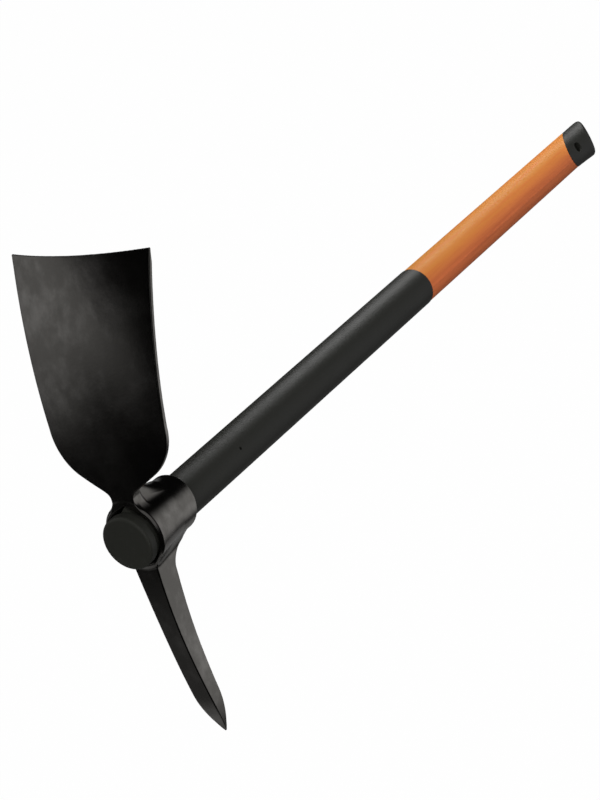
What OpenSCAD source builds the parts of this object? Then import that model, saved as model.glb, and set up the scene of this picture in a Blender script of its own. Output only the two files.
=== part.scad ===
// Hoe mattock: a wide dished blade and a square pick forged as one steel head,
// held on a sleeved wooden handle by a flared nose that fills the mouth of the eye.
// Millimetres. +Y runs along the handle from head to butt, +Z points up the blade,
// +X runs across the blade. The origin lies on the handle axis at mid grip.

// Piece to draw, or all of them

/* [Eye] */
// Distance from the front rim of the eye to the middle of the grip
head_reach = 661; // [450:1:900]
// Length of the eye from front rim to rear rim at mid height
eye_l = 61; // [45:1:80]
// Outer radius of the eye tube behind its flare
collar_r = 26.2; // [23:0.1:30]
// Loss of radius along the tube, the forging draft
collar_draft = 0.4; // [0:0.1:2]
// Rise of the tube above the handle axis, the wall being thicker under the blade
collar_rise = 2; // [0:0.1:4]
// Lean of the rear rim, the top of the tube being longer
rear_lean_deg = 7; // [0:1:15]
// Outer radius of the flared front rim
rim_r = 29.6; // [28:0.1:36]
// Length of the flare behind the front rim
flare_l = 13.5; // [8:0.5:20]
// Width of the small edge breaks on the rims
rim_edge = 1.6; // [0.5:0.1:3]
// Radius of the open mouth at the front rim
mouth_r = 26.2; // [25:0.1:29]
// Height of the pointed top of the eye above the axis
key_top = 28.8; // [26:0.1:30]
// Length of the pointed notch behind the front rim
key_l = 8; // [4:0.5:12]

/* [Blade] */
// Width of the blade at its cutting edge
blade_w = 145; // [100:1:200]
// Height of the cutting edge above the handle axis
blade_top = 242.8; // [180:1:300]
// Radius of the dish across the blade
dish_r = 316; // [180:1:500]
// Radius of the lengthwise bend towards the handle
bend_r = 562; // [400:1:1200]
// Height at which the lengthwise bend begins
bend_z = 45.8; // [30:1:80]
// Height of the shoulder arcs
shoulder_z = 97.8; // [80:1:140]
// Radius of the shoulder arcs
shoulder_r = 48.5; // [35:1:60]
// Distance of each shoulder arc centre from the middle
shoulder_x = 12.5; // [5:1:25]
// Angle round the shoulder arc at which it runs out into the neck
shoulder_deg = 58; // [50:1:70]
// Width of the neck at its narrowest
neck_w = 23.6; // [18:0.1:32]
// Radius of the fillets where the shoulders run into the neck
neck_fillet_r = 9; // [5:0.5:15]
// Radius of the fillets where the neck runs into the rim
root_fillet_r = 5; // [2:0.5:8]
// Radius of the web fillet between the back of the blade and the eye tube
neck_web_r = 46; // [25:1:48]
// Width of that web
neck_web_w = 14; // [8:0.5:20]
// Thickness of the neck at the rim
neck_t = 12; // [8:0.5:16]
// Thickness of the blade at its shoulders
shoulder_t = 5; // [5:0.1:9]
// Thickness of the blade above its back bevel
blade_t = 4.2; // [3:0.1:6]
// Thickness left at the cutting edge
edge_t = 1; // [0.6:0.1:2]
// Length of the bevel ground on the back of the cutting edge
edge_bevel_l = 12; // [6:0.5:25]

/* [Pick] */
// Depth of the point of the pick below the handle axis
pick_depth = 213.2; // [150:1:260]
// Width of the pick along its shank
pick_w = 19; // [14:0.1:24]
// Set-back of the front of the pick from the front rim
pick_front = 1.9; // [0:0.1:5]
// Radius of the gentle bend of the front of the pick
pick_front_bend_r = 794; // [500:1:1500]
// Set-back of the back of the pick from the front rim
pick_back = 27.4; // [22:0.1:36]
// Radius of the gentle bend of the back of the pick
pick_back_bend_r = 757; // [500:1:1500]
// Depth at which the back of the pick starts to bend
pick_back_bend_z = 64.2; // [50:1:90]
// Radius of the web fillet between the pick and the eye tube
web_r = 26; // [15:1:35]
// Width of the web
web_w = 19; // [8:0.5:20]
// Radius of the sideways flare at the root of the pick
pick_root_bend_r = 150; // [100:1:500]
// Depth at which the sideways flare ends
pick_root_z = 66; // [60:1:90]
// Length of the rounded point
point_l = 46; // [25:1:60]
// Thickness of the blunted tip
point_t = 1.6; // [1:0.1:3]

/* [Handle] */
// Distance from the front rim to the rear end of the sleeve
sleeve_end = 498; // [350:1:600]
// Outer radius of the sleeve at the eye
sleeve_r = 20.2; // [17:0.05:22]
// Outer radius of the sleeve at its rear end
sleeve_end_r = 20; // [16:0.05:22]
// Radius of the wooden core inside the sleeve
core_r = 17; // [14:0.1:18]
// Radius of the wooden grip at the sleeve
grip_r = 19.5; // [16:0.05:21]
// Radius of the wooden grip at the butt cap
grip_end_r = 19.2; // [15:0.05:21]
// Radius of the flared nose of the sleeve at the front rim
flare_r = 24; // [22:0.1:25]
// Length of the flared nose inside the eye
nose_cone_l = 21; // [12:0.5:30]
// Clearance between the sleeve and the eye
eye_fit = 0.3; // [0.1:0.05:0.6]
// Stand-off of the nose cap from the front rim
nose_gap = 2.5; // [1:0.1:5]
// Radius of the nose cap
nose_r = 24.9; // [24:0.1:28]
// Thickness of the nose cap
nose_t = 8.8; // [5:0.1:12]
// Radius of the rounded edge of the nose cap
nose_edge_r = 2.8; // [1:0.1:4]
// Length of the spigot of the nose cap inside the sleeve
nose_spigot_l = 8; // [4:0.5:16]
// Turn of the handle about its own axis relative to the blade
clock_deg = 23; // [0:1:45]
// Distance from the front rim to the sleeve pin
pin_y = 146.6; // [100:0.1:200]
// Radius of the sleeve pin
pin_r = 1.5; // [1:0.1:3]
// Depth of the pin ends below the sleeve surface
pin_sunk = 1.2; // [0.5:0.1:2]

/* [Butt cap] */
// Length of the butt cap from the ridge of the wedge that ends the wood to the ridge of the butt
cap_l = 40; // [30:0.1:60]
// Length of that wedge per unit of half thickness
joint_slope = 1.83; // [1:0.01:3]
// Distance from the front rim to the ridge of the butt
end_y = 894; // [650:0.1:1150]
// Length of the roof of the butt per unit of half thickness
end_slope = 1.29; // [0.6:0.01:2]
// Radius of the rounded ridge of the butt
ridge_r = 5; // [2:0.1:10]
// Slant of both ridges, the blade side reaching further
tail_slant_deg = 12; // [0:1:35]
// Radius of the cap beside the wood
cap_r = 19.4; // [17:0.05:21]
// Radius of the cap at its flared end
cap_end_r = 20.4; // [18:0.1:24]
// Width of the rounding round the flared end
cap_round = 8; // [2:0.5:12]
// Lean of the cap towards the pick side
cap_lean_deg = 1.5; // [0:0.1:4]
// Distance from the hang hole to the ridge of the butt
hang_l = 54; // [45:0.1:80]
// Radius of the hang hole
hang_r = 5.25; // [3:0.05:8]

/* [Hidden] */
round_fn = 96;
small_fn = 32;
curve_steps = 14;
point_steps = 7;
round_steps = 4;
overrun = 2;
half_pi_deg = 90;

edge_half = blade_w / 2;
neck_half = neck_w / 2;
pick_half = pick_w / 2;
blade_low = collar_r - shoulder_t;
slope_deg = half_pi_deg - shoulder_deg;
run_x = shoulder_x + shoulder_r * cos(shoulder_deg);
run_z = shoulder_z - shoulder_r * sin(shoulder_deg);
vee_z = run_z - run_x * tan(slope_deg);
corner_z = vee_z + neck_half * tan(slope_deg);
fillet_x = neck_half + neck_fillet_r;
fillet_z = run_z + ((fillet_x - run_x) * sin(slope_deg) - neck_fillet_r) / cos(slope_deg);
touch_x = fillet_x - neck_fillet_r * sin(slope_deg);
touch_z = fillet_z + neck_fillet_r * cos(slope_deg);
root_x = neck_half + root_fillet_r;
root_z = collar_rise + sqrt(pow(rim_r - rim_edge / 2 + root_fillet_r, 2) - pow(root_x, 2));
mid_z = (blade_low + shoulder_z) / 2;
bevel_z = blade_top - edge_bevel_l;
web_z = collar_r - collar_draft - rim_edge;
point_z = pick_depth - point_l;
sleeve_front = -nose_gap + eye_fit;
key_deg = acos(sleeve_r / key_top);
joint_y = end_y - cap_l;
hang_y = end_y - hang_l;
tail_w = 3 * cap_end_r;
roof_deg = atan(1 / end_slope);
thickness = [
    [blade_low, neck_t],
    [rim_r, neck_t],
    [mid_z, shoulder_t],
    [bevel_z, blade_t],
    [blade_top, edge_t]
];

// Set-back of a curve that bends away from zero with the given radius
function bend(d, r) = pow(max(0, d), 2) / (2 * r);
// Radius of the front of the blade about the dish axis at a height
function face_r(z) = dish_r - bend(z - bend_z, bend_r);
// Heights down the blade profile, both kinks of the thickness included
function blade_heights() = concat(
    [blade_low, rim_r, bend_z, mid_z],
    [for (i = [1 : curve_steps]) mid_z + (bevel_z - mid_z) * i / curve_steps],
    [blade_top]
);
// Set-back of the front and of the back of the pick at a depth
function pick_front_y(d) = pick_front + bend(d, pick_front_bend_r);
function pick_back_y(d) = pick_back + bend(d - pick_back_bend_z, pick_back_bend_r);
// Half width of the pick at a depth
function pick_half_at(d) = (pick_half + bend(pick_root_z - d, pick_root_bend_r)) * point_share(d);
// Share of the full thickness that is left along the rounded point
function point_share(d) = 1 - (1 - point_t / pick_w) * pow(max(0, d - point_z) / point_l, 2);
// Set-back of either face of the pick, drawn in towards the middle along the point
function pick_face_y(d, side) = (pick_front_y(d) + pick_back_y(d)) / 2
    + side * point_share(d) * (pick_back_y(d) - pick_front_y(d)) / 2;
// Depths down the pick
function pick_depths() = concat(
    [for (i = [0 : curve_steps]) point_z * i / curve_steps],
    [for (i = [1 : point_steps]) point_z + point_l * i / point_steps]
);
function pick_depths_up() = [for (i = [len(pick_depths()) - 1 : -1 : 0]) pick_depths()[i]];

// Places a piece measured from the front rim into the part frame
module from_rim() translate([0, -head_reach, 0]) children();

// Turns a profile of radius against length about the handle axis
module turned(fn = round_fn) rotate([-half_pi_deg, 0, 0]) rotate_extrude($fn = fn) children();

// Turns a piece of the handle to its angle about the handle axis
module clocked() rotate([0, -clock_deg, 0]) children();

// Runs an outline seen from the front through the head, from front to back
module through(front, back) translate([0, back, 0]) rotate([half_pi_deg, 0, 0])
    linear_extrude(height = back - front) children();

// Round hole or pin across the handle at a distance from the front rim
module across(y, r, length) clocked() translate([-length / 2, y, 0])
    rotate([0, half_pi_deg, 0]) cylinder(h = length, r = r, $fn = small_fn);

// Outside of the eye tube with its flared front rim and leaning rear rim
module collar() translate([0, 0, collar_rise]) difference() {
    turned() polygon([
        [0, 0],
        [rim_r - rim_edge / 2, 0],
        [rim_r, rim_edge / 2],
        [rim_r, rim_edge],
        [collar_r, flare_l],
        [collar_r - collar_draft, eye_l],
        [collar_r - collar_draft, eye_l + collar_r],
        [0, eye_l + collar_r]
    ]);
    translate([0, eye_l, 0]) rotate([-rear_lean_deg, 0, 0])
        translate([-2 * collar_r, 0, -2 * collar_r]) cube(4 * collar_r);
}

// Pointed top shared by the eye and the sleeve, grown by a clearance
module key_outline(grow) polygon([
    [0, 0],
    [(sleeve_r + grow) * sin(key_deg), (sleeve_r + grow) * cos(key_deg)],
    [0, key_top + grow],
    [-(sleeve_r + grow) * sin(key_deg), (sleeve_r + grow) * cos(key_deg)]
]);

// Hole through the eye: mouth, seat for the flared nose, straight bore and pointed top
module eye_hole() {
    turned() polygon([
        [0, -overrun],
        [mouth_r, -overrun],
        [mouth_r, 0],
        [flare_r + eye_fit, nose_gap],
        [sleeve_r + eye_fit, nose_cone_l],
        [sleeve_r + eye_fit, eye_l + collar_r],
        [0, eye_l + collar_r]
    ]);
    through(-overrun, key_l) key_outline(eye_fit);
}

// Front outline of neck, shoulders and blade
module blade_outline() {
    polygon([
        [-edge_half, blade_top],
        [edge_half, blade_top],
        [shoulder_x + shoulder_r, shoulder_z],
        [-shoulder_x - shoulder_r, shoulder_z]
    ]);
    polygon([
        [0, vee_z],
        [run_x, run_z],
        [run_x, shoulder_z + shoulder_x],
        [-run_x, shoulder_z + shoulder_x],
        [-run_x, run_z]
    ]);
    translate([-neck_half, blade_low]) square([neck_w, run_z - blade_low]);
    for (side = [-1, 1]) {
        translate([side * shoulder_x, shoulder_z]) circle(r = shoulder_r, $fn = round_fn);
        difference() {
            polygon([
                [0, fillet_z],
                [side * fillet_x, fillet_z],
                [side * touch_x, touch_z],
                [0, run_z]
            ]);
            translate([side * fillet_x, fillet_z]) circle(r = neck_fillet_r, $fn = round_fn);
        }
        difference() {
            polygon([
                [0, blade_low],
                [side * root_x * rim_r / (rim_r + root_fillet_r), blade_low],
                [side * root_x, root_z],
                [0, root_z]
            ]);
            translate([side * root_x, root_z]) circle(r = root_fillet_r, $fn = round_fn);
        }
    }
}

// Dished plate of neck and blade: one profile turned about the dish axis, cut to the outline
module blade() intersection() {
    translate([0, dish_r, 0]) rotate_extrude($fn = round_fn) polygon(concat(
        [for (z = blade_heights()) [face_r(z), z]],
        [for (i = [len(blade_heights()) - 1 : -1 : 0])
            let (z = blade_heights()[i]) [face_r(z) - lookup(z, thickness), z]]
    ));
    through(-dish_r / 2, dish_r / 2) blade_outline();
}

// Pick seen from the side
module pick_side() polygon(concat(
    [for (d = pick_depths()) [pick_face_y(d, -1), -d]],
    [for (d = pick_depths_up()) [pick_face_y(d, 1), -d]]
));

// Web that fillets the back of the pick into the eye tube, seen from the side
module web_side() difference() {
    translate([pick_back - overrun, -web_z - web_r]) square([web_r + overrun, web_z + web_r]);
    translate([pick_back + web_r, -web_z - web_r]) circle(r = web_r, $fn = round_fn);
}

// Web that fillets the back of the blade into the eye tube, seen from the side
module neck_web_side() difference() {
    translate([shoulder_t / 2, web_z]) square([shoulder_t / 2 + neck_web_r, neck_web_r]);
    translate([shoulder_t + neck_web_r, web_z + neck_web_r]) circle(r = neck_web_r, $fn = round_fn);
}

// Runs an outline seen from the side across the head
module sideways(width) translate([-width / 2, 0, 0]) rotate([half_pi_deg, 0, half_pi_deg])
    linear_extrude(height = width) children();

// Pick seen from the front
module pick_outline() polygon(concat(
    [for (d = pick_depths()) [pick_half_at(d), -d]],
    [for (d = pick_depths_up()) [-pick_half_at(d), -d]]
));

// Square pick: side view run across and cut to the front view
module pick() intersection() {
    sideways(2 * rim_r) pick_side();
    through(-overrun, eye_l) pick_outline();
}

// Steel head, one forging
module head() color([0.14, 0.14, 0.15]) from_rim() difference() {
    union() {
        collar();
        blade();
        pick();
        sideways(web_w) web_side();
        sideways(neck_web_w) neck_web_side();
    }
    eye_hole();
}

// Runs a shape seen along both ridges through the tail of the handle
module tail(y) clocked() translate([0, y, 0]) rotate([-tail_slant_deg, 0, 0])
    linear_extrude(height = tail_w, center = true) children();

// Room taken by the butt cap behind the wedge-shaped end of the wood
module behind_joint() tail(joint_y) polygon([
    [0, 0],
    [tail_w, -tail_w * joint_slope],
    [tail_w, tail_w],
    [-tail_w, tail_w],
    [-tail_w, -tail_w * joint_slope]
]);

// Room in front of the roof-shaped butt with its rounded ridge
module before_end() tail(end_y) polygon(concat(
    [[-tail_w, -2 * tail_w], [-tail_w, -tail_w * end_slope]],
    [for (i = [-round_steps : round_steps]) let (a = (half_pi_deg - roof_deg) * i / round_steps)
        [ridge_r * sin(a), ridge_r * (cos(a) - 1 / sin(roof_deg))]],
    [[tail_w, -tail_w * end_slope], [tail_w, -2 * tail_w]]
));

// Wooden core: bare grip behind the sleeve, thinner inside it, wedge-shaped at the butt
module core() color([0.80, 0.42, 0.13]) from_rim() difference() {
    turned() polygon([
        [0, nose_spigot_l],
        [core_r, nose_spigot_l],
        [core_r, sleeve_end],
        [grip_r, sleeve_end],
        [grip_end_r, end_y],
        [0, end_y]
    ]);
    behind_joint();
    across(pin_y, pin_r, 2 * (sleeve_r + overrun));
    across(hang_y, hang_r, 2 * (cap_end_r + overrun));
}

// Polymer sleeve with its flared nose and the key that fills the pointed top of the eye
module sleeve() color([0.09, 0.09, 0.10]) from_rim() difference() {
    union() {
        turned() polygon([
            [0, sleeve_front],
            [flare_r, sleeve_front],
            [flare_r, 0],
            [sleeve_r, nose_cone_l],
            [sleeve_end_r, sleeve_end],
            [0, sleeve_end]
        ]);
        through(0, key_l - eye_fit) key_outline(0);
    }
    turned() polygon([
        [0, sleeve_front - overrun],
        [core_r, sleeve_front - overrun],
        [core_r, sleeve_end + overrun],
        [0, sleeve_end + overrun]
    ]);
    across(pin_y, pin_r, 2 * (sleeve_r + overrun));
}

// Round cap that closes the nose of the sleeve
module nose_cap() color([0.11, 0.11, 0.12]) from_rim() turned() {
    translate([0, -nose_gap - nose_t + nose_edge_r]) square([nose_r, nose_t - nose_edge_r]);
    translate([0, -nose_gap - nose_t]) square([nose_r - nose_edge_r, nose_t]);
    translate([nose_r - nose_edge_r, -nose_gap - nose_t + nose_edge_r])
        circle(r = nose_edge_r, $fn = small_fn);
    translate([0, -nose_gap]) square([core_r, nose_gap + nose_spigot_l]);
}

// Steel pin that locks the sleeve to the core
module sleeve_pin() color([0.30, 0.30, 0.32]) from_rim()
    across(pin_y, pin_r, 2 * (sleeve_end_r - pin_sunk));

// Outside of the butt cap before joint and end are cut
module cap_body() clocked() translate([0, hang_y, 0]) rotate([-cap_lean_deg, 0, 0])
    translate([0, -hang_y, 0]) turned() polygon([
        [0, joint_y - tail_w],
        [cap_r, joint_y - tail_w],
        [cap_r, joint_y],
        [cap_end_r, end_y - cap_round / 2],
        [cap_end_r - cap_round, end_y + cap_round / 2],
        [0, end_y + cap_round / 2]
    ]);

// Polymer butt cap with wedge-shaped joint, flared roof-shaped end and hang hole
module butt_cap() color([0.10, 0.10, 0.11]) from_rim() difference() {
    intersection() {
        cap_body();
        behind_joint();
        before_end();
    }
    across(hang_y, hang_r, 2 * (cap_end_r + overrun));
}

head();
core();
sleeve();
nose_cap();
sleeve_pin();
butt_cap();
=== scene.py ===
"""Hoe mattock: looks of the forged head, the sleeved wooden handle and the stage."""

import math
from types import SimpleNamespace

import bpy
import numpy as np
from bpy.props import FloatProperty, FloatVectorProperty, PointerProperty
from mathutils import Euler, Matrix, Vector


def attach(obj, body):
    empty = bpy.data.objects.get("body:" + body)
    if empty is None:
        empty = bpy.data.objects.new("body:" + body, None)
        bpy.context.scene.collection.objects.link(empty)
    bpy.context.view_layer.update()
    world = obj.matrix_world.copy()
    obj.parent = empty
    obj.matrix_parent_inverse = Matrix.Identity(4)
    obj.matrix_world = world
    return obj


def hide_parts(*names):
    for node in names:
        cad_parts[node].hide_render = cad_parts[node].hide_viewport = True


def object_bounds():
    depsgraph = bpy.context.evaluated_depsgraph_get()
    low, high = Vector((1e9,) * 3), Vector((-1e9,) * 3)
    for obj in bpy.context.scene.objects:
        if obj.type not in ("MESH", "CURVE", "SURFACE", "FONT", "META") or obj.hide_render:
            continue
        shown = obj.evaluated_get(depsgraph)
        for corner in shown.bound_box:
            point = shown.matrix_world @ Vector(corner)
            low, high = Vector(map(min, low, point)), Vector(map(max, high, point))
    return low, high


bl_info = {
    "name": "Hoe mattock",
    "version": (1, 0, 0),
    "blender": (4, 5, 0),
    "location": "View3D > Sidebar > Mattock",
    "description": "Dresses a hoe mattock: forged head, polymer sleeve, wooden grip and butt cap",
    "category": "Add Mesh",
}

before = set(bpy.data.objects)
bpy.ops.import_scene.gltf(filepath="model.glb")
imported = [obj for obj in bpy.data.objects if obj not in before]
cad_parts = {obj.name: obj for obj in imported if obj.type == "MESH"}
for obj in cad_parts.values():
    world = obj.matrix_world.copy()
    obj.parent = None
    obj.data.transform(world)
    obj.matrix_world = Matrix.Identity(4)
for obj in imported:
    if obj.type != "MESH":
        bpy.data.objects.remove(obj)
CAD_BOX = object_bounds()
MM = 1000.0
BODY = "root"

# Way from the camera to the white backdrop
BACKDROP = (-0.55, 0.79, -0.28)

# Panels and flags around the tool: way to the middle, cosines of outer and inner rim, level
STUDIO = (
    ((0.655, 0.740, -0.15), 0.73, 0.97, 0.55),  # panel right behind, for eye tube and pick
    ((-0.82, -0.44, 0.36), 0.76, 0.94, 0.40),  # panel at the left, for the blade
    ((-0.40, -0.76, 0.51), 0.905, 0.925, -0.40),  # flag over the blade's upper right
    ((-0.46, -0.88, 0.11), 0.960, 0.990, 0.16),  # small panel, for the middle of the blade
    ((0.05, -0.97, 0.20), 0.885, 0.92, -0.28),  # flag along the blade's right edge
    ((0.42, -0.74, 0.52), 0.70, 0.95, 0.28),  # panel right in front, for rims and edges
    ((-0.5, -0.5, -0.71), 0.94, 0.995, 0.09),  # low panel, for the front of the pick
)
ROOM_LEVEL = 0.006  # dark studio between the panels
LEAST_LEVEL = 0.004  # darkest that a flag makes it
FLOOR_SEEN = 0.992  # share of plain white in the floor, the rest takes the shadow
WHITE = (1, 1, 1, 1)


def length(name, description, default):
    """A size in metres."""
    return FloatProperty(name=name, description=description, default=default, unit="LENGTH")


def angle(name, description, degrees):
    """An angle, given in degrees."""
    return FloatProperty(
        name=name, description=description, default=math.radians(degrees), subtype="ANGLE"
    )


def slope(name, description, default):
    """A length per length."""
    return FloatProperty(name=name, description=description, default=default)


def power(name, description, watts):
    """A lamp's power."""
    return FloatProperty(name=name, description=description, default=watts, unit="POWER")


def share(name, description, default):
    """A share between nothing and all."""
    return FloatProperty(
        name=name, description=description, default=default, min=0, max=1, subtype="FACTOR"
    )


def colour(name, description, default):
    """A linear colour."""
    return FloatVectorProperty(
        name=name, description=description, default=default, size=3, min=0, max=1, subtype="COLOR"
    )


class HeadSizes(bpy.types.PropertyGroup):
    """Sizes of the forged head, lengths along the handle counted from the front rim."""

    reach: length("Reach", "Front rim of the eye to mid grip", 0.661)
    blade_w: length("Blade width", "Width at the cutting edge", 0.145)
    blade_top: length("Blade height", "Cutting edge above the handle axis", 0.2428)
    dish_r: length("Dish radius", "Dish across the blade", 0.316)
    bend_r: length("Bend radius", "Lengthwise bend of the blade", 0.562)
    bend_z: length("Bend height", "Height at which the bend begins", 0.0458)
    shoulder_z: length("Shoulder height", "Height of the shoulder arcs", 0.0978)
    shoulder_r: length("Shoulder radius", "Radius of the shoulder arcs", 0.0485)
    shoulder_x: length("Shoulder offset", "Arc centre from the middle", 0.0125)
    shoulder_a: angle("Shoulder angle", "Where the arc runs out into the neck", 58)
    neck_w: length("Neck width", "Neck at its narrowest", 0.0236)
    neck_t: length("Neck thickness", "Neck at the rim", 0.012)
    shoulder_t: length("Shoulder thickness", "Blade at its shoulders", 0.005)
    blade_t: length("Blade thickness", "Blade above the back bevel", 0.0042)
    edge_t: length("Edge thickness", "Cutting edge", 0.0018)
    bevel_l: length("Bevel length", "Bevel ground on the back of the edge", 0.012)
    eye_l: length("Eye length", "Front rim to rear rim", 0.061)
    tube_r: length("Tube radius", "Eye tube behind its flare", 0.0253)
    tube_rise: length("Tube rise", "Tube axis above the handle axis", 0.0009)
    tube_tilt: length("Tube tilt", "Further rise of the tube towards its front rim", 0.001)
    rear_lean: angle("Rear lean", "Lean of the rear rim", 7)
    rim_r: length("Rim radius", "Flared front rim", 0.0296)
    flare_l: length("Flare length", "Flare behind the front rim", 0.0135)
    lip: length("Lip", "Chamfer of the front rim", 0.0028)
    mouth_r: length("Mouth radius", "Open mouth at the front rim", 0.0262)
    bore_r: length("Bore radius", "Straight bore of the eye", 0.0205)
    key_top: length("Key height", "Pointed top of the mouth", 0.0296)
    key_l: length("Key length", "Pointed notch behind the rim", 0.008)
    pick_depth: length("Pick depth", "Point below the handle axis", 0.2132)
    pick_w: length("Pick width", "Width along the shank", 0.019)
    pick_front: length("Pick front", "Front of the pick behind the rim", 0.0019)
    pick_back: length("Pick back", "Back of the pick behind the rim", 0.0274)
    pick_front_r: length("Pick front bend", "Bend of the front of the pick", 0.794)
    pick_back_r: length("Pick back bend", "Bend of the back of the pick", 0.757)
    pick_back_z: length("Pick back bend depth", "Depth at which the back begins to bend", 0.0642)
    root_z: length("Root depth", "Depth at which the flare of the root ends", 0.120)
    root_r: length("Root flare", "Sideways flare at the root of the pick", 1.4)
    point_l: length("Point length", "Rounded point", 0.046)
    point_t: length("Tip thickness", "Blunted tip", 0.0016)
    web_l: length("Web length", "Hollow behind the pick, along the tube", 0.032)
    web_h: length("Web height", "Hollow behind the pick, down its back", 0.020)
    edge_r: length("Edge radius", "Rounding of the forged edges", 0.0011)
    fillet_r: length("Fillet radius", "Fillets between tube, neck and pick", 0.007)
    mesh_step: length("Mesh step", "Spacing of the surface mesh", 0.0008)


class HandleSizes(bpy.types.PropertyGroup):
    """Sizes of the butt cap, lengths along the handle counted from the front rim."""

    clock: angle("Turn", "Turn of the handle in the eye", 23)
    cap_r: length("Cap radius", "Cap beside the wood", 0.0194)
    cap_end_r: length("Cap end radius", "Flared end of the cap", 0.0204)
    cap_lean: angle("Cap lean", "Lean of the cap towards the pick side", 1.5)
    joint_y: length("Joint", "Ridge of the wedge that ends the wood", 0.854)
    joint_slope: slope("Joint slope", "Wedge length per half thickness", 1.83)
    end_y: length("End", "Ridge of the butt", 0.894)
    end_slope: slope("End slope", "Roof length per half thickness", 1.29)
    slant: angle("Ridge slant", "Slant of both ridges", 12)
    hang_y: length("Hang hole place", "Hang hole from the front rim", 0.840)
    hang_r: length("Hang hole radius", "Radius of the hang hole", 0.00525)
    cap_step: length("Mesh step", "Spacing of the surface mesh", 0.0006)


class Finishes(bpy.types.PropertyGroup):
    """Colours of the surfaces."""

    steel: colour("Steel", "Blackened forged steel", (0.168, 0.161, 0.151))
    steel_worn: colour("Worn steel", "Rubbed patches and edges", (0.285, 0.275, 0.262))
    polymer: colour("Polymer", "Moulded black polymer", (0.0125, 0.0128, 0.0108))
    polymer_pale: colour("Scuffed polymer", "Faint scuffs", (0.019, 0.0192, 0.0170))
    wood: colour("Wood", "Orange stained wood", (0.72, 0.180, 0.057))
    # Painted highlight: lighter golden tone standing in for the light falling on the grip's upper
    # side
    wood_painted_light: colour("Pale wood", "Golden wood on the upper side", (0.405, 0.165, 0.030))
    wood_grain: colour("Wood grain", "Darker grain lines", (0.46, 0.095, 0.030))
    pin: colour("Pin", "Blackened pin", (0.03, 0.03, 0.03))
    floor: colour("Floor", "Floor as the tool sees it", (0.05, 0.05, 0.05))


class StageSizes(bpy.types.PropertyGroup):
    """Camera, lamps and floor."""

    camera_at: FloatVectorProperty(
        name="Camera place", description="Where the camera stands", size=3,
        default=(1.34935, -2.13931, 0.86745), subtype="TRANSLATION",
    )
    camera_turn: FloatVectorProperty(
        name="Camera turn", description="How the camera is turned", size=3,
        default=tuple(math.radians(a) for a in (67.56927, 15.13527, 31.49010)), subtype="EULER",
    )
    lens: FloatProperty(
        name="Lens", description="Focal length on a 36 mm frame", default=117.0, unit="CAMERA"
    )
    floor_drop: length("Floor drop", "Floor below the point of the pick", 0.58)
    floor_front: length("Floor front", "Front edge of the floor", -0.9)
    floor_right: length("Floor right", "Right edge of the floor", 0.15)
    floor_w: length("Floor width", "Side of the floor", 8.0)
    mirrored: share("Mirrored backdrop", "How strongly gloss shows the white surround", 0.12)
    sky_power: power("Soft ceiling", "Wide soft lamp above", 120.0)
    fill_power: power("Soft fill", "Wide soft lamp in front", 105.0)
    strip_power: power("Strip lamp", "Long lamp above the grip", 5.6)


class Mattock(bpy.types.PropertyGroup):
    """Everything a user may change."""

    head: PointerProperty(type=HeadSizes, name="Head", description="Forged head")
    handle: PointerProperty(type=HandleSizes, name="Handle", description="Butt of the handle")
    finish: PointerProperty(type=Finishes, name="Finish", description="Colours")
    stage: PointerProperty(type=StageSizes, name="Stage", description="Camera, lamps and floor")


# Solid fields: negative inside, in millimetres


def round_and(a, b, r):
    """Where both solids are, with an edge of radius r."""
    return np.minimum(np.maximum(a, b), -r) + np.hypot(np.maximum(a + r, 0), np.maximum(b + r, 0))


def round_or(a, b, r):
    """Where either solid is, with a fillet of radius r."""
    return np.maximum(np.minimum(a, b), r) - np.hypot(np.maximum(r - a, 0), np.maximum(r - b, 0))


def soft_max(a, b, k):
    """The larger of two values, eased over k."""
    h = np.clip(0.5 + 0.5 * (a - b) / k, 0, 1)
    return b + (a - b) * h + k * h * (1 - h)


def bend(d, r):
    """Set-back of a curve that bends away with radius r."""
    return np.maximum(d, 0) ** 2 / (2 * r)


def ease(low, high, v):
    """Runs smoothly from 0 at low to 1 at high."""
    t = np.clip((v - low) / (high - low), 0, 1)
    return t * t * (3 - 2 * t)


def in_mm(group):
    """Sizes of a group in millimetres, angles and slopes unchanged."""
    kept = {}
    for name, prop in group.bl_rna.properties.items():
        if name in ("rna_type", "name"):
            continue
        scale = MM if prop.unit == "LENGTH" else 1.0
        kept[name] = getattr(group, name) * scale
    return SimpleNamespace(**kept)


def blade_half(z, s):
    """Half width of neck, shoulders and blade at a height."""
    a = s.shoulder_a
    run_x = s.shoulder_x + s.shoulder_r * math.cos(a)
    run_z = s.shoulder_z - s.shoulder_r * math.sin(a)
    rise = math.tan(math.pi / 2 - a)
    slant = run_x + (z - run_z) / rise
    arc = s.shoulder_x + np.sqrt(np.maximum(s.shoulder_r**2 - (s.shoulder_z - z) ** 2, 0))
    wide = s.shoulder_x + s.shoulder_r
    side = wide + (z - s.shoulder_z) * (s.blade_w / 2 - wide) / (s.blade_top - s.shoulder_z)
    half = np.where(z < run_z, slant, np.where(z < s.shoulder_z, arc, side))
    blend = 0.55 * s.neck_t
    return soft_max(half, np.full_like(z, s.neck_w / 2), blend)


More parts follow.
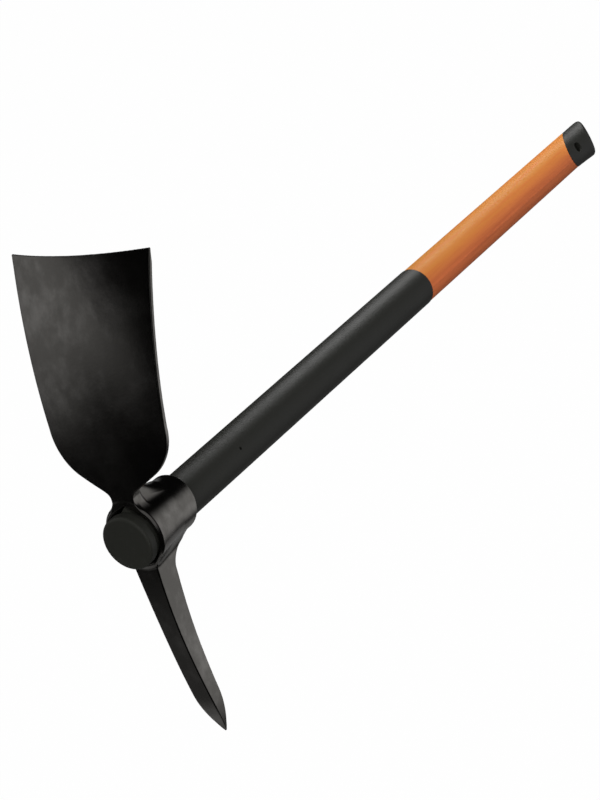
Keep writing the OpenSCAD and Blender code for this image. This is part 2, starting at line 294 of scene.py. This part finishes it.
def blade_field(x, y, z, s):
    """Dished and bent plate of neck and blade."""
    face = s.dish_r - bend(z - s.bend_z, s.bend_r)
    mid_z = (s.tube_r + s.shoulder_z) / 2
    t = s.neck_t + (s.shoulder_t - s.neck_t) * ease(s.rim_r, mid_z, z)
    thin_z = 1.5 * s.shoulder_z
    t = t + (s.blade_t - s.shoulder_t) * ease(mid_z, thin_z, z)
    bevel = np.clip((z - s.blade_top + s.bevel_l) / s.bevel_l, 0, 1)
    t = t + (s.edge_t - s.blade_t) * bevel
    from_axis = np.hypot(x, y - s.dish_r)
    lean = np.sqrt(1 + (np.maximum(z - s.bend_z, 0) / s.bend_r) ** 2)
    front = (from_axis - face) / lean
    back = (face - t - from_axis) / lean
    near = 0.5
    flare = (blade_half(z + near, s) - blade_half(z - near, s)) / (2 * near)
    side = (np.abs(x) - blade_half(z, s)) / np.sqrt(1 + flare**2)
    side_round, top_round = 0.3, 0.4
    r = np.minimum(s.edge_r, side_round * t)
    plate = np.maximum(round_and(front, side, r), round_and(back, side, r))
    plate = round_and(plate, z - s.blade_top, top_round * t)
    return np.maximum(plate, s.tube_r - s.shoulder_t - z)


def tube_field(x, y, z, s):
    """Outside of the eye tube with its flare and leaning rear rim."""
    up = z - s.tube_rise - s.tube_tilt * np.clip(1 - y / s.eye_l, 0, 1)
    flat, spread, swell = 1.6, 3.0, 1.2
    rim_edge, rear_edge = 0.8, 1.4
    left = np.clip(1 - (y - flat) / (spread * s.flare_l - flat), 0, 1)
    outer = s.tube_r + (s.rim_r - s.tube_r) * left**swell
    around = np.hypot(x, up) - outer
    rear = (y - s.eye_l) * math.cos(s.rear_lean) - up * math.sin(s.rear_lean)
    lip = (np.hypot(x, up) - y - s.rim_r + s.lip) / math.sqrt(2)
    front = round_and(round_and(around, -y, rim_edge), lip, rim_edge)
    return round_and(front, rear, rear_edge)


def web_rise(d, reach, rise):
    """How far an oval hollow stands off one face, at a distance from the other."""
    u = 1 - np.clip(d / reach, 0, 1)
    return rise * (1 - np.sqrt(1 - u**2))


def web_fillet(d, reach, rise, most):
    """Fillet beside a web, smaller where the web runs out."""
    per_rise, least = 2.5, 0.05
    return np.clip(per_rise * web_rise(d, reach, rise), least, most)


def pick_half(d, s):
    """Half width of the pick at a depth, before its point."""
    return s.pick_w / 2 + bend(s.root_z - np.maximum(d, s.tube_r), s.root_r)


def pick_field(x, y, z, s):
    """Square pick with its rounded point."""
    d = -z
    along = np.clip((d - s.pick_depth + s.point_l) / s.point_l, 0, 1)
    left = 1 - (1 - s.point_t / s.pick_w) * along**2
    half = pick_half(d, s) * left
    front = s.pick_front + bend(d, s.pick_front_r)
    back = s.pick_back + bend(d - s.pick_back_z, s.pick_back_r)
    middle, thick = (front + back) / 2, (back - front) / 2 * left
    closest, edge_round, steep = 0.03 * s.web_h, 0.4, 0.97
    off_tube = np.maximum(np.hypot(x, z - s.tube_rise) - s.tube_r, closest)
    rise = web_rise(off_tube, s.web_h, s.web_l)
    lean = np.sqrt(1 + (s.web_l / s.web_h) ** 2 * (s.web_l**2 / (s.web_l - rise) ** 2 - 1))
    behind = np.where(rise > 0, (y - middle - thick - rise) / lean, y - middle - thick)
    r = np.minimum(s.edge_r, edge_round * np.minimum(half, thick))
    pick = round_and(np.abs(x) - half, np.maximum(middle - thick - y, behind) * steep, r)
    return np.maximum(pick, np.maximum(d - s.pick_depth, -d))


def web_field(x, along, away, r, half, bite, edge):
    """Hollow web in the corner of the tube and a plate, along the tube and away from it."""
    hollow = r - np.hypot(along - r, away - r)
    box = np.maximum(np.maximum(along - r, away - r), np.maximum(-along - bite, -away - bite))
    return round_and(np.maximum(hollow, box), np.abs(x) - half, edge)


def eye_field(x, y, z, s):
    """Hole through the eye: mouth, seat, bore and pointed top."""
    seat_y, cone_y, seat_r, steep = 2.5, 21.0, s.bore_r + 3.8, 0.9
    mouth = s.mouth_r + (seat_r - s.mouth_r) * np.clip(y / seat_y, 0, 1)
    bore = seat_r + (s.bore_r - seat_r) * np.clip((y - seat_y) / (cone_y - seat_y), 0, 1)
    hole = (np.hypot(x, z) - np.where(y < seat_y, mouth, bore)) * steep
    lean = math.acos(s.mouth_r / s.key_top)
    key = np.abs(x) * math.sin(lean) + z * math.cos(lean) - s.mouth_r
    notch = np.maximum(y - s.key_l, s.mouth_r * math.cos(lean) - z)
    return np.minimum(hole, np.maximum(key, notch))


def head_field(p, s):
    """The whole forging at points measured from the front rim."""
    x, y, z = p[:, 0], p[:, 1], p[:, 2]
    tube = tube_field(x, y, z, s)
    off_tube = np.hypot(x, z - s.tube_rise) - s.tube_r
    off_blade = y - s.shoulder_t - bend(z - s.bend_z, s.bend_r)
    off_pick = y - s.pick_back
    neck_r, neck_half, bite, neck_edge, neck_fillet = 58.0, 10.0, 1.5, 8.0, 4.0
    sunk_blade, sunk_tube, front_edge, mouth_edge = 0.4, 0.3, 0.7, 1.2
    neck_web = web_field(
        x, off_blade + sunk_blade, off_tube + sunk_tube, neck_r, neck_half, bite, neck_edge
    )
    neck_web = np.maximum(neck_web, -z)
    at_blade = web_fillet(off_tube, neck_r, neck_r, neck_fillet)
    blade = round_or(blade_field(x, y, z, s), neck_web, at_blade)
    solid = round_or(tube, blade, web_fillet(off_blade, neck_r, neck_r, s.fillet_r))
    at_pick = web_fillet(off_pick, s.web_l, s.web_h, s.fillet_r)
    solid = round_or(solid, pick_field(x, y, z, s), at_pick)
    solid = round_and(solid, -y, front_edge)
    return round_and(solid, -eye_field(x, y, z, s), mouth_edge)


def cap_field(p, h):
    """Butt cap at points measured from the front rim."""
    ridge_r, end_edge, joint_edge, hole_edge, flare_l = 4.0, 3.2, 0.35, 0.8, 8
    c, k = math.cos(h.clock), math.sin(h.clock)
    across = p[:, 0] * c + p[:, 2] * k
    up = p[:, 2] * c - p[:, 0] * k
    y = p[:, 1]
    r = h.cap_r + (h.cap_end_r - h.cap_r) * ease(h.joint_y - flare_l, h.end_y, y)
    body = np.hypot(across, up + (y - h.hang_y) * math.tan(h.cap_lean)) - r
    ct, st = math.cos(h.slant), math.sin(h.slant)
    joint_l = (y - h.joint_y) * ct - up * st
    end_l = (y - h.end_y) * ct - up * st
    joint = -(joint_l + h.joint_slope * np.abs(across)) / math.hypot(1, h.joint_slope)
    eased = np.hypot(across, ridge_r)
    end = (end_l + h.end_slope * eased - ridge_r / 2) / math.hypot(1, h.end_slope)
    cap = round_and(body, end, end_edge)
    cap = round_and(cap, joint, joint_edge)
    hole = np.hypot(y - h.hang_y, up) - h.hang_r
    return round_and(cap, -hole, hole_edge)


# Surface meshes


def slopes(field, p, near):
    """Gradient of a field at points."""
    g = np.empty_like(p)
    for axis in range(3):
        step = np.zeros(3)
        step[axis] = near
        g[:, axis] = (field(p + step) - field(p - step)) / (2 * near)
    return g


def surface_net(field, low, high, step):
    """Quads over the zero surface of a field, with one vertex in each cell that it crosses."""
    axes = [np.arange(a, b + step, step) for a, b in zip(low, high)]
    shape = tuple(len(a) for a in axes)
    values = np.empty(shape, np.float32)
    yy, zz = np.meshgrid(axes[1], axes[2], indexing="ij")
    for i, x in enumerate(axes[0]):
        p = np.stack([np.full(yy.size, x), yy.ravel(), zz.ravel()], 1)
        values[i] = field(p).reshape(yy.shape)
    inside = values < 0
    corners = [(a, b, c) for a in (0, 1) for b in (0, 1) for c in (0, 1)]
    count = np.zeros(tuple(n - 1 for n in shape), np.int8)
    for a, b, c in corners:
        count += inside[a : shape[0] - 1 + a, b : shape[1] - 1 + b, c : shape[2] - 1 + c]
    cells = np.argwhere((count > 0) & (count < 8))
    number = np.full(count.shape, -1, np.int64)
    number[tuple(cells.T)] = np.arange(len(cells))
    total = np.zeros((len(cells), 3))
    crossings = np.zeros(len(cells))
    for a in corners:
        for axis in range(3):
            if a[axis]:
                continue
            b = tuple(v + (i == axis) for i, v in enumerate(a))
            va = values[tuple((cells + a).T)]
            vb = values[tuple((cells + b).T)]
            crossed = (va < 0) != (vb < 0)
            t = np.where(crossed, va / np.where(crossed, va - vb, 1), 0)
            point = np.array(a, float) + t[:, None] * (np.array(b, float) - np.array(a, float))
            total += point * crossed[:, None]
            crossings += crossed
    points = np.array(low) + (cells + total / crossings[:, None]) * step
    quads = []
    for axis in range(3):
        u, v = (axis + 1) % 3, (axis + 2) % 3
        first = [slice(1, n - 1) for n in shape]
        first[axis] = slice(0, shape[axis] - 1)
        second = list(first)
        second[axis] = slice(1, shape[axis])
        a, b = inside[tuple(first)], inside[tuple(second)]
        for way in (True, False):
            at = np.argwhere((a == way) & (b != way)) + [s.start for s in first]
            ring = []
            for du, dv in ((0, 0), (1, 0), (1, 1), (0, 1)):
                cell = at.copy()
                cell[:, u] -= 1 - du
                cell[:, v] -= 1 - dv
                ring.append(number[tuple(cell.T)])
            ring = np.stack(ring, 1)
            quads.append(ring if way else ring[:, ::-1])
    return points, np.concatenate(quads)


def solid_mesh(name, field, low, high, step, keep):
    """Object over a field's surface, thinned where it is flat, with the field's own normals."""
    points, quads = surface_net(field, low, high, step)
    pull_near, normal_near, pulls, least_slope = 0.08 * step, 0.12, 3, 0.25
    for _ in range(pulls):
        g = slopes(field, points, pull_near)
        points -= g * (field(points) / np.maximum((g**2).sum(1), least_slope))[:, None]
    mesh = bpy.data.meshes.new(name)
    mesh.from_pydata((points / MM).tolist(), [], quads.tolist())
    piece = bpy.data.objects.new(name, mesh)
    bpy.context.scene.collection.objects.link(piece)
    thin = piece.modifiers.new("thin", "DECIMATE")
    thin.ratio = keep
    graph = bpy.context.evaluated_depsgraph_get()
    thinned = bpy.data.meshes.new_from_object(piece.evaluated_get(graph))
    piece.modifiers.clear()
    piece.data = thinned
    bpy.data.meshes.remove(mesh)
    thinned.name = name
    co = np.empty(len(thinned.vertices) * 3)
    thinned.vertices.foreach_get("co", co)
    at = co.reshape(-1, 3) * MM
    g = slopes(field, at, normal_near)
    normals = g / np.maximum(np.linalg.norm(g, axis=1), 1e-9)[:, None]
    thinned.shade_smooth()
    thinned.normals_split_custom_set_from_vertices(normals.tolist())
    return piece


def place(piece, s):
    """Moves a piece measured from the front rim into the part's frame."""
    piece.data.transform(Matrix.Translation((0, -s.reach / MM, 0)))


# Materials


class Value:
    """A socket that takes part in sums."""

    def __init__(self, paint, socket):
        self.paint, self.socket = paint, socket

    def _do(self, operation, *values):
        return self.paint.add("ShaderNodeMath", {"operation": operation}, dict(enumerate(values)))

    def __add__(self, other):
        return self._do("ADD", self, other)

    __radd__ = __add__

    def __sub__(self, other):
        return self._do("SUBTRACT", self, other)

    def __rsub__(self, other):
        return self._do("SUBTRACT", other, self)

    def __mul__(self, other):
        return self._do("MULTIPLY", self, other)

    __rmul__ = __mul__


class Paint:
    """Node tree of a material or of the world."""

    def __init__(self, owner):
        owner.use_nodes = True
        self.owner = owner
        self.tree = owner.node_tree
        self.tree.nodes.clear()

    def add(self, kind, settings=None, sockets=None, out=0):
        """Adds a node: its settings first, then the values or links of its sockets."""
        node = self.tree.nodes.new(kind)
        for key, value in (settings or {}).items():
            setattr(node, key, value)
        for key, value in (sockets or {}).items():
            socket = node.inputs[key]
            if isinstance(value, Value):
                self.tree.links.new(value.socket, socket)
            else:
                socket.default_value = value
        return Value(self, node.outputs[out]) if node.outputs else None

    def place(self, scale):
        """Object coordinates, stretched."""
        at = self.add("ShaderNodeTexCoord", out="Object")
        return self.add("ShaderNodeMapping", {}, {"Vector": at, "Scale": scale})

    def noise(self, at, scale, detail, rough):
        """Cloudy noise at some coordinates."""
        sockets = {"Vector": at, "Scale": scale, "Detail": detail, "Roughness": rough}
        return self.add("ShaderNodeTexNoise", {}, sockets)

    def between(self, value, low, high, most=1.0):
        """Runs smoothly from 0 at low to the most at high."""
        sockets = {"Value": value, "From Min": low, "From Max": high, "To Max": most}
        return self.add("ShaderNodeMapRange", {"interpolation_type": "SMOOTHSTEP"}, sockets)

    def larger(self, a, b):
        """The larger of two values."""
        return self.add("ShaderNodeMath", {"operation": "MAXIMUM"}, {0: a, 1: b})

    def facing(self, way, centre):
        """Cosine between a way and a fixed one."""
        sockets = {0: way, 1: centre}
        return self.add("ShaderNodeVectorMath", {"operation": "DOT_PRODUCT"}, sockets, out="Value")

    def ray(self, kind):
        """1 for one kind of ray, else 0."""
        return self.add("ShaderNodeLightPath", out=kind)

    def seen(self):
        """1 where the camera looks, straight or through glass, else 0."""
        return self.larger(self.ray("Is Camera Ray"), self.ray("Is Transmission Ray"))

    def mix(self, factor, a, b):
        """A colour between two."""
        return self.add("ShaderNodeMix", {"data_type": "RGBA"}, {0: factor, 6: a, 7: b}, out=2)

    def bump(self, height, strength, distance):
        """Normals of a rough surface."""
        sockets = {"Height": height, "Strength": strength, "Distance": distance}
        return self.add("ShaderNodeBump", {}, sockets)

    def surface(self, **sockets):
        """Ends a material in one Principled surface."""
        named = {key.replace("_", " "): value for key, value in sockets.items()}
        shader = self.add("ShaderNodeBsdfPrincipled", {}, named)
        self.add("ShaderNodeOutputMaterial", {}, {"Surface": shader})
        return self.owner


def new_paint(name):
    """Empty node tree of a new material."""
    return Paint(bpy.data.materials.new(name))


def tone(rgb):
    """A colour with full alpha."""
    return (*rgb, 1.0)


def steel_finish(paint, f):
    """Blackened forged steel: soft blotches, fine forge texture and rubbed patches."""
    at = paint.place((1, 1, 1))
    blotch = paint.noise(at, scale=22.0, detail=5.0, rough=0.6)
    fine = paint.noise(at, scale=420.0, detail=3.0, rough=0.6)
    crust = paint.noise(paint.place((1, 1, 0.7)), scale=90.0, detail=4.0, rough=0.6)
    worn = paint.between(blotch * 0.6 + crust * 0.4, low=0.42, high=0.68)
    return paint.surface(
        Base_Color=paint.mix(worn, tone(f.steel), tone(f.steel_worn)),
        Metallic=1.0,
        Roughness=0.12 + 0.14 * blotch + 0.05 * fine,
        Normal=paint.bump(fine * 0.5 + crust, strength=0.10, distance=0.0006),
    )


def polymer_finish(paint, f):
    """Moulded black polymer with a fine spark-eroded texture and faint scuffs."""
    at = paint.place((1, 1, 1))
    pores = paint.noise(at, scale=1400.0, detail=2.0, rough=0.5)
    cloud = paint.noise(at, scale=35.0, detail=4.0, rough=0.6)
    rubs = paint.noise(paint.place((1, 0.2, 1)), scale=160.0, detail=4.0, rough=0.65)
    scuff = paint.between(rubs, low=0.56, high=0.74)
    return paint.surface(
        Base_Color=paint.mix(scuff * 0.5 + cloud * 0.3, tone(f.polymer), tone(f.polymer_pale)),
        Roughness=0.44 + 0.10 * cloud + 0.05 * scuff,
        Specular_IOR_Level=0.3,
        Normal=paint.bump(pores, strength=0.05, distance=0.0003),
    )


def wood_finish(paint, f):
    """Orange stained wood under satin lacquer, grain along the handle, with a painted highlight: a
    lighter golden tone on the upper side.
    """
    wander = paint.noise(paint.place((1, 0.08, 1)), scale=40.0, detail=3.0, rough=0.5)
    fibres = paint.noise(paint.place((1, 0.03, 1)), scale=900.0, detail=3.0, rough=0.6)
    streaks = paint.noise(paint.place((1, 0.05, 1)), scale=170.0, detail=4.0, rough=0.6)
    dark = paint.between(streaks * 0.6 + fibres * 0.25 + wander * 0.3, low=0.48, high=0.78)
    height = paint.add("ShaderNodeSeparateXYZ", {}, {0: paint.place((1, 1, 1))}, out="Z")
    # Painted highlight: the wood turns lighter and golden towards the top of the grip, where the
    # light falls
    painted_top_light = paint.between(height + 0.006 * wander, low=0.002, high=0.024)
    stain_and_painted_light = paint.mix(painted_top_light, tone(f.wood), tone(f.wood_painted_light))
    return paint.surface(
        Base_Color=paint.mix(dark * 0.5, stain_and_painted_light, tone(f.wood_grain)),
        Roughness=0.40 + 0.16 * fibres,
        Specular_IOR_Level=0.12,
        Normal=paint.bump(fibres * 0.6 + streaks * 0.4, strength=0.10, distance=0.0004),
    )


def pin_finish(paint, f):
    """Blackened steel pin."""
    grain = paint.noise(paint.place((1, 1, 1)), scale=900.0, detail=3.0, rough=0.5)
    return paint.surface(
        Base_Color=paint.mix(grain, tone(f.pin), tone([2 * v for v in f.pin])),
        Metallic=1.0,
        Roughness=0.45 + 0.15 * grain,
        Normal=paint.bump(grain, strength=0.1, distance=0.0002),
    )


FINISHES = {
    "blackened_steel": steel_finish,
    "moulded_polymer": polymer_finish,
    "orange_wood": wood_finish,
    "blackened_pin": pin_finish,
}


def finish_of(context, name):
    """A finish, made once."""
    made = bpy.data.materials.get(name)
    return made or FINISHES[name](new_paint(name), context.scene.mattock.finish)


def dress(piece, material):
    """Gives a piece one material."""
    piece.data.materials.clear()
    piece.data.materials.append(material)


class MATTOCK_OT_head(bpy.types.Operator):
    """Forged head with blade, eye and pick"""

    bl_idname = "mattock.head"
    bl_label = "Head"

    def execute(self, context):
        s = in_mm(context.scene.mattock.head)
        room, room_front, room_rear, keep = 3, 2.5, 9, 0.45
        half = s.blade_w / 2 + room
        low = (-half, -room_front, -s.pick_depth - room)
        high = (half, s.eye_l + room_rear, s.blade_top + room)
        piece = solid_mesh(
            "forged_head", lambda p: head_field(p, s), low, high, s.mesh_step, keep
        )
        place(piece, s)
        dress(piece, finish_of(context, "blackened_steel"))
        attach(piece, BODY)
        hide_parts("head")
        return {"FINISHED"}


class MATTOCK_OT_handle(bpy.types.Operator):
    """Wooden core, polymer sleeve, nose cap and pin"""

    bl_idname = "mattock.handle"
    bl_label = "Handle"

    def execute(self, context):
        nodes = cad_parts
        dress(nodes["core"], finish_of(context, "orange_wood"))
        dress(nodes["sleeve"], finish_of(context, "moulded_polymer"))
        dress(nodes["nose_cap"], finish_of(context, "moulded_polymer"))
        dress(nodes["sleeve_pin"], finish_of(context, "blackened_pin"))
        return {"FINISHED"}


class MATTOCK_OT_butt(bpy.types.Operator):
    """Polymer butt cap with its hang hole"""

    bl_idname = "mattock.butt"
    bl_label = "Butt cap"

    def execute(self, context):
        h = in_mm(context.scene.mattock.handle)
        s = in_mm(context.scene.mattock.head)
        room, room_front, room_end, keep = 4, 30, 8, 0.5
        wide = h.cap_end_r + room
        low = (-wide, h.hang_y - room_front, -wide)
        high = (wide, h.end_y + room_end, wide)
        piece = solid_mesh("butt_end", lambda p: cap_field(p, h), low, high, h.cap_step, keep)
        place(piece, s)
        dress(piece, finish_of(context, "moulded_polymer"))
        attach(piece, BODY)
        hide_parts("butt_cap")
        return {"FINISHED"}


class MATTOCK_OT_stage(bpy.types.Operator):
    """Camera, lamps, sky and floor"""

    bl_idname = "mattock.stage"
    bl_label = "Stage"

    def execute(self, context):
        st = context.scene.mattock.stage
        self.camera(context, st)
        self.sky(context, st)
        self.floor(context, st)
        middle = (0, -0.2, 0)
        over_grip, grip = (-0.16, 0.58, 0.55), (0, 0.58, 0)
        strip = self.lamp(context, "strip_lamp", over_grip, grip, (1.2, 0.4), st.strip_power)
        self.flag(strip, bpy.data.objects["forged_head"])
        above, in_front = (-0.8, 0, 3), (1.5, -2.6, 0.7)
        self.lamp(context, "soft_ceiling", above, middle, (4, 4), st.sky_power, False)
        self.lamp(context, "soft_fill", in_front, middle, (3, 3), st.fill_power, False)
        context.scene.view_settings.view_transform = "Standard"
        return {"FINISHED"}

    def camera(self, context, st):
        """Camera at the photograph's viewing angle."""
        data = bpy.data.cameras.new("photo_camera")
        data.lens = st.lens
        data.clip_end = 50
        camera = bpy.data.objects.new("photo_camera", data)
        camera.location = st.camera_at
        camera.rotation_euler = Euler(st.camera_turn, "XYZ")
        context.scene.collection.objects.link(camera)
        context.scene.camera = camera

    def lamp(self, context, name, at, aim, size, power, mirrored=True):
        """Soft rectangular lamp, shown in gloss or not."""
        data = bpy.data.lights.new(name, "AREA")
        data.shape = "RECTANGLE"
        data.size, data.size_y = size
        data.energy = power
        lamp = bpy.data.objects.new(name, data)
        lamp.location = at
        lamp.rotation_euler = (Vector(aim) - Vector(at)).to_track_quat("-Z", "Y").to_euler()
        lamp.visible_camera = False
        lamp.visible_glossy = mirrored
        context.scene.collection.objects.link(lamp)
        return lamp

    def flag(self, lamp, piece):
        """Shades a piece from a lamp."""
        shaded = bpy.data.collections.new("shaded")
        shaded.objects.link(piece)
        lamp.light_linking.receiver_collection = shaded
        shaded.collection_objects[0].light_linking.link_state = "EXCLUDE"

    def sky(self, context, st):
        """White backdrop for the camera, dark studio with panels and flags for the tool."""
        world = bpy.data.worlds.new("studio")
        context.scene.world = world
        paint = Paint(world)
        way = paint.add("ShaderNodeTexCoord", out="Generated")
        lit = ROOM_LEVEL
        for centre, low, high, level in STUDIO:
            lit = paint.between(paint.facing(way, centre), low, high, level) + lit
        lit = paint.larger(lit, LEAST_LEVEL)
        outer, inner = 0.93, 0.97
        backdrop = paint.between(paint.facing(way, BACKDROP), outer, inner, st.mirrored)
        shown = paint.larger(paint.seen(), paint.ray("Is Glossy Ray") * backdrop)
        level = lit + shown * (1 - lit)
        sky = paint.add("ShaderNodeBackground", {}, {"Color": WHITE, "Strength": level})
        paint.add("ShaderNodeOutputWorld", {}, {"Surface": sky})

    def floor(self, context, st):
        """Plain floor that looks white and keeps a soft shadow."""
        side = st.floor_w
        z = CAD_BOX[0][2] - st.floor_drop
        front, right = st.floor_front, st.floor_right
        back, left = front + side, right - side
        mesh = bpy.data.meshes.new("floor")
        corners = [(left, front, z), (right, front, z), (right, back, z), (left, back, z)]
        mesh.from_pydata(corners, [], [(0, 1, 2, 3)])
        floor = bpy.data.objects.new("floor", mesh)
        context.scene.collection.objects.link(floor)
        paint = new_paint("pale_floor")
        speck = paint.noise(paint.place((1, 1, 1)), scale=60.0, detail=3.0, rough=0.5)
        f = context.scene.mattock.finish
        pale = paint.mix(speck * 0.1, tone(f.floor), WHITE)
        matt = paint.add("ShaderNodeBsdfDiffuse", {}, {"Color": pale})
        glow = paint.add("ShaderNodeEmission", {}, {"Color": WHITE, "Strength": 1.0})
        white = paint.larger(paint.seen() * FLOOR_SEEN, paint.ray("Is Glossy Ray") * st.mirrored)
        mixed = paint.add("ShaderNodeMixShader", {}, {0: white, 1: matt, 2: glow})
        paint.add("ShaderNodeOutputMaterial", {}, {"Surface": mixed})
        dress(floor, paint.owner)


class MATTOCK_PT_panel(bpy.types.Panel):
    """Lists the pieces"""

    bl_idname = "MATTOCK_PT_panel"
    bl_label = "Mattock"
    bl_space_type = "VIEW_3D"
    bl_region_type = "UI"
    bl_category = "Mattock"

    def draw(self, context):
        for operator in OPERATORS:
            self.layout.operator(operator.bl_idname)
        settings = context.scene.mattock
        for group in (settings.head, settings.handle, settings.finish, settings.stage):
            box = self.layout.box()
            for name in group.bl_rna.properties.keys():
                if name not in ("rna_type", "name"):
                    box.prop(group, name)


GROUPS = (HeadSizes, HandleSizes, Finishes, StageSizes, Mattock)
OPERATORS = (MATTOCK_OT_head, MATTOCK_OT_handle, MATTOCK_OT_butt, MATTOCK_OT_stage)
CLASSES = GROUPS + OPERATORS + (MATTOCK_PT_panel,)


def register():
    """Makes the settings, operators and panel known."""
    for cls in CLASSES:
        bpy.utils.register_class(cls)
    bpy.types.Scene.mattock = PointerProperty(type=Mattock)


def unregister():
    """Takes them away again."""
    del bpy.types.Scene.mattock
    for cls in reversed(CLASSES):
        bpy.utils.unregister_class(cls)


def main():
    """Builds every piece and the stage."""
    register()
    bpy.ops.mattock.head()
    bpy.ops.mattock.handle()
    bpy.ops.mattock.butt()
    bpy.ops.mattock.stage()


if __name__ == "__main__":
    main()
